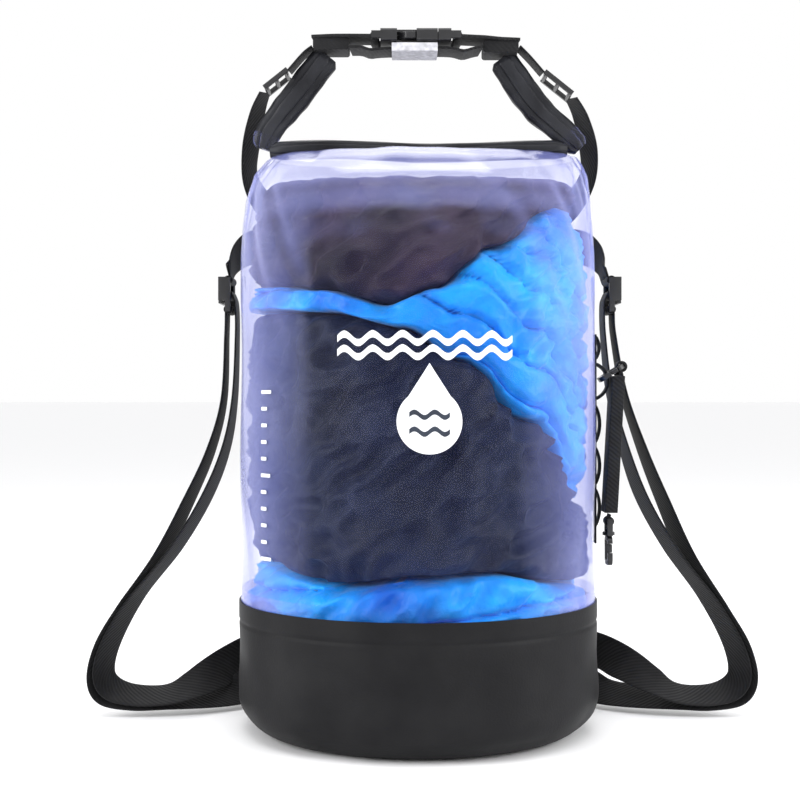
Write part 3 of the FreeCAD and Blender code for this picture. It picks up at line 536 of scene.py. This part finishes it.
def curve_through(points, steps):
    """Smooth points through stations, of any length of tuple."""
    first = tuple(2 * a - b for a, b in zip(points[0], points[1]))
    last = tuple(2 * a - b for a, b in zip(points[-1], points[-2]))
    run = [first] + list(points) + [last]
    smooth = []
    for i in range(1, len(run) - 2):
        for k in range(steps):
            t = k / steps
            point = []
            for a, b, c, d in zip(run[i - 1], run[i], run[i + 1], run[i + 2]):
                square = 2 * a - 5 * b + 4 * c - d
                cube = 3 * b - a - 3 * c + d
                point.append(0.5 * (2 * b + (c - a) * t + square * t * t + cube * t ** 3))
            smooth.append(tuple(point))
    smooth.append(tuple(points[-1]))
    return smooth


def folded_tube(name, stations, body, material, nodes, crease=0.0012, grow=1.0):
    """A flattened roll of fabric along stations, with lengthwise folds and rounded ends."""
    rings = curve_through(stations, 14)
    around = 56
    mesh = bmesh.new()
    rows = []
    for i, s in enumerate(rings):
        before = Vector(rings[max(i - 1, 0)][:3])
        after = Vector(rings[min(i + 1, len(rings) - 1)][:3])
        along = (after - before).normalized()
        across = Vector((0, 1, 0)).cross(along).normalized()
        deep = along.cross(across)
        end = min(i, len(rings) - 1 - i)
        close = min(1.0, 0.72 + 0.09 * end)
        row = []
        for k in range(around):
            turn = 2 * math.pi * k / around
            c = math.cos(turn)
            d = math.sin(turn)
            a = s[3] * grow * close * math.copysign(abs(c) ** 0.8, c)
            b = s[4] * grow * close * math.copysign(abs(d) ** 0.8, d)
            layer = math.exp(-((turn - 4.25) / 0.10) ** 2) + math.exp(-((turn - 5.2) / 0.12) ** 2)
            wander = noise.noise(Vector((c * 2, d * 2, i * 0.11)))
            dip = 1 - crease / s[4] * (0.8 * layer + 0.5 * wander)
            row.append(mesh.verts.new(Vector(s[:3]) + across * a * dip + deep * b * dip))
        rows.append(row)
    for lower, upper in zip(rows, rows[1:]):
        for k in range(around):
            j = (k + 1) % around
            mesh.faces.new((lower[k], lower[j], upper[j], upper[k]))
    mesh.faces.new(rows[0][::-1])
    mesh.faces.new(rows[-1])
    bmesh.ops.recalc_face_normals(mesh, faces=mesh.faces[:])
    data = bpy.data.meshes.new(name)
    mesh.to_mesh(data)
    mesh.free()
    piece = bpy.data.objects.new(name, data)
    bpy.context.collection.objects.link(piece)
    return finish_piece(piece, name, body, material, nodes, 50)


roll_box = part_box("roll_bar")
roll_y = (roll_box[0][1] + roll_box[1][1]) / 2
roll_z = (roll_box[0][2] + roll_box[1][2]) / 2
roll_half = (roll_box[1][1] - roll_box[0][1]) / 2
roll_line = [(roll_box[0][0] - 0.010 + (roll_box[1][0] - roll_box[0][0] + 0.020) * k / 6, roll_y,
              roll_z + 0.0012 * math.sin(k * 1.4), 0.0062, roll_half) for k in range(7)]
folded_tube("rolled_collar", roll_line, "bag", collar_fabric, ["roll_bar"], 0.0010)
softened("roll_stiffener", "collar_strip", "bag", collar_fabric, 0.0003)
folded_tube("roll_arm_l", ARM_LEFT, "bag", collar_fabric, ["roll_arm_left"])
right_arm = folded_tube("roll_arm_r", ARM_RIGHT, None, collar_fabric, ["roll_arm_right"])
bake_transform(right_arm)
for side, arm in (("l", ARM_LEFT), ("r", ARM_RIGHT)):
    folded_tube("film_cuff_" + side, arm[:2], "bag", film_material, [], 0.0008, 1.09)

# Webbing: flat black polyester, 25 mm and 20 mm wide, woven with fine ribs across and a selvedge on
# each edge. The long runs hang from the ladder locks and lie loosely on the ground.
TOP_WEB = [
    (-0.092, 0.098, 0.33, 0, 0, 1),
    (-0.108, 0.085, 0.33, 0, -0.05, 1),
    (-0.121, 0.067, 0.326, 0, -0.3, 0.9),
    (-0.128, 0.048, 0.317, 0, -0.7, 0.7),
    (-0.13, 0.036, 0.306, 0, -0.95, 0.3),
    (-0.1295, 0.031, 0.3015, 0, -1, 0.1),
]
RUN_LEFT = [
    (-0.1266, 0.03, 0.29, 0, 1, 0),
    (-0.1249, 0.03, 0.283, 0, 1, 0),
    (-0.1246, 0.031, 0.262, 0, 1, 0),
    (-0.1266, 0.032, 0.218, 0.05, 1, 0),
    (-0.133, 0.032, 0.183, 0.15, 1, 0),
    (-0.1467, 0.031, 0.149, 0.3, 1, 0.1),
    (-0.168, 0.03, 0.114, 0.45, 1, 0.2),
    (-0.195, 0.029, 0.08, 0.6, 1, 0.3),
    (-0.211, 0.029, 0.052, 0.6, 1, 0.25),
    (-0.217, 0.03, 0.031, 0.5, 1, 0.2),
    (-0.212, 0.031, 0.019, 0.3, 0.9, 0.4),
    (-0.196, 0.031, 0.0137, 0.1, 0.87, 0.38),
    (-0.173, 0.033, 0.0137, 0, 0.87, 0.38),
    (-0.156, 0.04, 0.019, -0.1, 0.8, 0.6),
    (-0.143, 0.054, 0.025, -0.2, 0.6, 0.75),
    (-0.128, 0.08, 0.032, 0, 0.2, 1),
    (-0.11, 0.093, 0.037, 0, 0, 1),
    (-0.092, 0.098, 0.038, 0, 0, 1),
]
TAIL_LEFT = [
    (-0.1313, 0.03, 0.279, 0, 1, 0),
    (-0.1316, 0.029, 0.262, 0, 1, 0),
    (-0.1335, 0.028, 0.218, 0.05, 1, 0),
    (-0.1425, 0.027, 0.183, 0.15, 1, 0),
    (-0.1575, 0.027, 0.149, 0.3, 1, 0.1),
    (-0.176, 0.028, 0.113, 0.45, 1, 0.2),
    (-0.2, 0.028, 0.0775, 0.6, 1, 0.3),
    (-0.215, 0.028, 0.051, 0.6, 1, 0.25),
    (-0.221, 0.03, 0.028, 0.5, 1, 0.2),
    (-0.2155, 0.031, 0.015, 0.3, 0.9, 0.4),
    (-0.196, 0.032, 0.0102, 0.1, 0.87, 0.38),
    (-0.173, 0.035, 0.0102, 0, 0.87, 0.38),
    (-0.15, 0.042, 0.0102, 0.05, 0.85, 0.38),
    (-0.128, 0.058, 0.0108, 0.15, 0.8, 0.38),
    (-0.113, 0.08, 0.0155, 0.3, 0.6, 0.6),
]
RUN_RIGHT = [
    (0.1296, 0.03, 0.29, 0, 1, 0),
    (0.1279, 0.03, 0.283, 0, 1, 0),
    (0.1286, 0.031, 0.262, 0, 1, 0),
    (0.133, 0.031, 0.224, -0.05, 1, 0),
    (0.1436, 0.031, 0.183, -0.15, 1, 0),
    (0.156, 0.031, 0.149, -0.3, 1, 0.1),
    (0.176, 0.03, 0.114, -0.45, 1, 0.2),
    (0.201, 0.029, 0.08, -0.6, 1, 0.3),
    (0.217, 0.029, 0.052, -0.6, 1, 0.25),
    (0.223, 0.03, 0.031, -0.5, 1, 0.2),
    (0.218, 0.031, 0.019, -0.3, 0.9, 0.4),
    (0.202, 0.031, 0.0137, -0.1, 0.87, 0.38),
    (0.18, 0.033, 0.0147, 0, 0.87, 0.38),
    (0.163, 0.039, 0.0225, 0.1, 0.8, 0.6),
    (0.147, 0.054, 0.031, 0.2, 0.6, 0.75),
    (0.13, 0.08, 0.037, 0, 0.2, 1),
    (0.11, 0.093, 0.038, 0, 0, 1),
    (0.092, 0.098, 0.038, 0, 0, 1),
]
TAIL_RIGHT = [
    (0.1343, 0.03, 0.279, 0, 1, 0),
    (0.1354, 0.029, 0.262, 0, 1, 0),
    (0.1425, 0.028, 0.222, -0.05, 1, 0),
    (0.1553, 0.027, 0.183, -0.15, 1, 0),
    (0.169, 0.027, 0.149, -0.3, 1, 0.1),
    (0.185, 0.028, 0.113, -0.45, 1, 0.2),
    (0.2065, 0.028, 0.0775, -0.6, 1, 0.3),
    (0.2215, 0.028, 0.051, -0.6, 1, 0.25),
    (0.2275, 0.03, 0.028, -0.5, 1, 0.2),
    (0.2215, 0.031, 0.015, -0.3, 0.9, 0.4),
    (0.202, 0.032, 0.0102, -0.1, 0.87, 0.38),
    (0.18, 0.035, 0.0102, 0, 0.87, 0.38),
    (0.155, 0.043, 0.0102, -0.05, 0.85, 0.38),
    (0.131, 0.06, 0.0108, -0.15, 0.8, 0.38),
    (0.115, 0.081, 0.0155, -0.3, 0.6, 0.6),
]
SIDE_UPPER_LEFT = [
    (-0.0705, 0.004, 0.455, 0, 1, 0),
    (-0.077, 0.0045, 0.45, 0, 1, 0),
    (-0.0865, 0.0055, 0.4395, 0, 1, 0),
]
SIDE_UPPER_RIGHT = [
    (0.068, 0.004, 0.455, 0, 1, 0),
    (0.075, 0.0045, 0.448, 0, 1, 0),
    (0.084, 0.0055, 0.438, 0, 1, 0),
]
SIDE_LOWER_LEFT = [
    (-0.1035, 0.0075, 0.426, 0.2, 1, 0),
    (-0.109, 0.011, 0.412, 0.45, 0.9, 0.2),
    (-0.114, 0.02, 0.392, 0.5, 0.85, 0.2),
    (-0.1155, 0.034, 0.37, 0.4, 0.9, 0.3),
    (-0.106, 0.054, 0.353, 0.5, 0.6, 0.5),
    (-0.0895, 0.07, 0.342, 0.6, 0.5, 0.6),
]
SIDE_LOWER_RIGHT = [
    (0.104, 0.0075, 0.422, -0.2, 1, 0),
    (0.111, 0.011, 0.409, -0.45, 0.9, 0.2),
    (0.117, 0.02, 0.39, -0.5, 0.85, 0.2),
    (0.1175, 0.034, 0.37, -0.4, 0.9, 0.3),
    (0.107, 0.054, 0.353, -0.5, 0.6, 0.5),
    (0.0895, 0.07, 0.342, -0.6, 0.5, 0.6),
]


def webbing_finish(name, coordinate, rib):
    """Woven webbing: ribs across it, with a little fuzz and wear."""
    material, tree, shader = nodes_of(name)
    two_tone(tree, shader, noise_on(tree, 80, 4), (0.003, 0.003, 0.004), (0.008, 0.008, 0.009))
    shader.inputs["Roughness"].default_value = 0.72
    shader.inputs["Sheen Weight"].default_value = 0.05
    shader.inputs["Specular IOR Level"].default_value = 0.25
    place = tree.nodes.new("ShaderNodeTexCoord")
    ribs = tree.nodes.new("ShaderNodeTexWave")
    ribs.bands_direction = "DIAGONAL"
    ribs.inputs["Scale"].default_value = rib
    ribs.inputs["Distortion"].default_value = 1.2
    tree.links.new(place.outputs[coordinate], ribs.inputs["Vector"])
    bump_from(tree, shader, ribs.outputs["Fac"], 0.45, 0.0004)
    return material


long_webbing = webbing_finish("long_webbing", "UV", 170)
short_webbing = webbing_finish("short_webbing", "Object", 170)


def woven_strap(name, stations, width, thick, body, nodes, wraps=()):
    """Webbing along stations (place, then the direction across), with loops wrapped round bars."""
    points = curve_through(stations, 12)
    profile = []
    for k in range(16):
        turn = 2 * math.pi * k / 16
        c = math.cos(turn)
        d = math.sin(turn)
        profile.append((math.copysign(abs(c) ** 0.25, c), math.copysign(abs(d) ** 0.6, d)))
    mesh = bmesh.new()
    layer = mesh.loops.layers.uv.new("along")
    rows = []
    travelled = 0.0
    lengths = []
    for i, s in enumerate(points):
        here = Vector(s[:3])
        before = Vector(points[max(i - 1, 0)][:3])
        after = Vector(points[min(i + 1, len(points) - 1)][:3])
        travelled += (here - before).length
        lengths.append(travelled)
        along = (after - before).normalized()
        across = Vector(s[3:6])
        across = (across - along * across.dot(along)).normalized()
        out = along.cross(across)
        half_across = across * (width / 2)
        half_out = out * (thick / 2)
        rows.append([mesh.verts.new(here + half_across * a + half_out * b) for a, b in profile])
    for i, (lower, upper) in enumerate(zip(rows, rows[1:])):
        for k in range(16):
            j = (k + 1) % 16
            face = mesh.faces.new((lower[k], lower[j], upper[j], upper[k]))
            corners = ((k, i), (j, i), (j, i + 1), (k, i + 1))
            for loop, (p, q) in zip(face.loops, corners):
                loop[layer].uv = (profile[p][0] * width / 2, lengths[q])
    mesh.faces.new(rows[0][::-1])
    mesh.faces.new(rows[-1])
    for start, end, radius in wraps:
        a, b = Vector(start), Vector(end)
        made = bmesh.ops.create_cone(mesh, cap_ends=True, segments=32, radius1=radius, radius2=radius,
                                     depth=(b - a).length)
        turned = (b - a).to_track_quat("Z", "Y")
        for vertex in made["verts"]:
            vertex.co = turned @ vertex.co + (a + b) / 2
    bmesh.ops.recalc_face_normals(mesh, faces=mesh.faces[:])
    data = bpy.data.meshes.new(name)
    mesh.to_mesh(data)
    mesh.free()
    strap = bpy.data.objects.new(name, data)
    bpy.context.collection.objects.link(strap)
    return finish_piece(strap, name, body, long_webbing, nodes, 35)


WEB_W = 0.025
WEB_T = 0.0015
WRAP_R = 0.0031
HINGE_X = 0.092
HINGE_Y = 0.098
for side, sign, run, tail in (("left", -1, RUN_LEFT, TAIL_LEFT), ("right", 1, RUN_RIGHT, TAIL_RIGHT)):
    body = "strap_" + side
    lock_x = (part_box("ladder_lock_" + side)[0][0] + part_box("ladder_lock_" + side)[1][0]) / 2 - sign * 0.0023
    top = [(x * -sign, y, z, a * -sign, b, c) for x, y, z, a, b, c in TOP_WEB]
    top[-1] = (lock_x,) + top[-1][1:]
    hinge = (sign * HINGE_X, HINGE_Y)

    def bar_wrap(x, z):
        return ((x, 0.030 - WEB_W / 2, z), (x, 0.030 + WEB_W / 2, z), WRAP_R)

    def ring_wrap(z):
        return ((*hinge, z - WEB_W / 2), (*hinge, z + WEB_W / 2), WRAP_R)

    woven_strap("shoulder_top_" + side[0], top, WEB_W, WEB_T, body, ["shoulder_top_web_" + side],
                [ring_wrap(0.330), bar_wrap(lock_x, 0.300)])
    woven_strap("shoulder_run_" + side[0], run, WEB_W, WEB_T, body, ["shoulder_web_" + side],
                [ring_wrap(0.038), bar_wrap(lock_x, 0.290)])
    woven_strap("shoulder_end_" + side[0], tail, WEB_W, WEB_T, body, ["shoulder_tail_" + side],
                [bar_wrap(lock_x, 0.280)])
woven_strap("side_top_l", SIDE_UPPER_LEFT, 0.020, WEB_T, "bag", ["side_web_upper_left"])
side_top = woven_strap("side_top_r", SIDE_UPPER_RIGHT, 0.020, WEB_T, None, ["side_web_upper_right"])
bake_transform(side_top)
woven_strap("side_low_l", SIDE_LOWER_LEFT, 0.020, WEB_T, "bag", ["side_web_lower_left"])
woven_strap("side_low_r", SIDE_LOWER_RIGHT, 0.020, WEB_T, "bag", ["side_web_lower_right"])
for node, body in (("end_web_left", "bag"), ("end_web_right", "clip"), ("tail_web_left", "bag"),
                   ("tail_web_right", "clip"), ("upper_tab_left", "bag"), ("upper_tab_right", "bag"),
                   ("lower_tab_left", "bag"), ("lower_tab_right", "bag"), ("daisy_strip", "bag"),
                   ("daisy_loops", "bag"), ("accessory_strap", "accessory"), ("accessory_loops", "accessory")):
    softened(node, "sewn_" + node, body, short_webbing)
for level in ("upper", "lower"):
    for side in ("left", "right"):
        node = level + "_patch_" + side
        softened(node, "welded_" + node, "bag", black_tarpaulin, 0.0003)

# Keeper: a loop of light grey elastic that holds the roll's two webbing tails under the buckle.
def elastic_finish():
    material, tree, shader = nodes_of("grey_elastic")
    two_tone(tree, shader, noise_on(tree, 300, 3), (0.40, 0.40, 0.43), (0.62, 0.62, 0.66))
    shader.inputs["Roughness"].default_value = 0.7
    bump_from(tree, shader, noise_on(tree, 1400, 2), 0.3, 0.0003)
    return material


softened("tail_keeper", "elastic_keeper", "bag", elastic_finish(), 0.0005)

# Fittings: buckle, sliders, rings, ladder locks and snap hooks, injection-moulded in black acetal
# with softened edges and a light satin skin.
def acetal_finish():
    material, tree, shader = nodes_of("black_acetal")
    two_tone(tree, shader, noise_on(tree, 40, 3), (0.007, 0.007, 0.008), (0.015, 0.015, 0.017))
    shader.inputs["Roughness"].default_value = 0.36
    bump_from(tree, shader, noise_on(tree, 1100, 2), 0.12, 0.0003)
    return material


acetal = acetal_finish()
owner = {node: name for name, nodes in frame["record"]["behaviour"]["bodies"].items() for node in nodes}
for node in ("buckle_female", "buckle_male", "triglide_left", "triglide_right", "ladder_lock_left",
             "ladder_lock_right", "upper_ring_left", "upper_ring_right", "lower_ring_left", "lower_ring_right",
             "hook_body_top", "hook_gate_top", "hook_body_bottom", "hook_gate_bottom", "hook_eye_bottom"):
    softened(node, "moulded_" + node, owner[node], acetal, 0.0006)
prongs = softened("buckle_prongs", "moulded_prongs", "clip", acetal, 0.0005)
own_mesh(prongs)

# Stage: a wide pale floor under a white world, and soft light from both sides, above and behind.
bpy.ops.object.select_all(action="DESELECT")
bpy.ops.mesh.primitive_plane_add(size=120, location=(0, 0, 0))
floor = bpy.context.object
floor.name = "floor"
floor_material, floor_tree, floor_shader = nodes_of("pale_floor")
floor_shader.inputs["Base Color"].default_value = (0.93, 0.93, 0.94, 1)
floor_shader.inputs["Roughness"].default_value = 0.7
floor.data.materials.append(floor_material)
for name, place, size, power in (
    ("left_softbox", (-1.5, -0.7, 0.75), 1.1, 20),
    ("right_softbox", (1.5, -0.6, 0.75), 1.1, 20),
    ("top_softbox", (0.0, -0.5, 1.9), 1.4, 14),
    ("back_softbox", (0.0, 1.5, 1.1), 1.2, 8),
):
    light = bpy.data.lights.new(name, "AREA")
    light.size = size
    light.energy = power
    lamp = bpy.data.objects.new(name, light)
    lamp.location = place
    aim = Vector((0, 0, 0.22)) - Vector(place)
    lamp.rotation_euler = aim.to_track_quat("-Z", "Y").to_euler()
    bpy.context.collection.objects.link(lamp)
world = bpy.data.worlds.new("studio")
world.use_nodes = True
world.node_tree.nodes["Background"].inputs["Color"].default_value = (1, 1, 1, 1)
world.node_tree.nodes["Background"].inputs["Strength"].default_value = 1.0
bpy.context.scene.world = world
bpy.context.scene.view_settings.view_transform = "Standard"

bpy.context.view_layer.update()
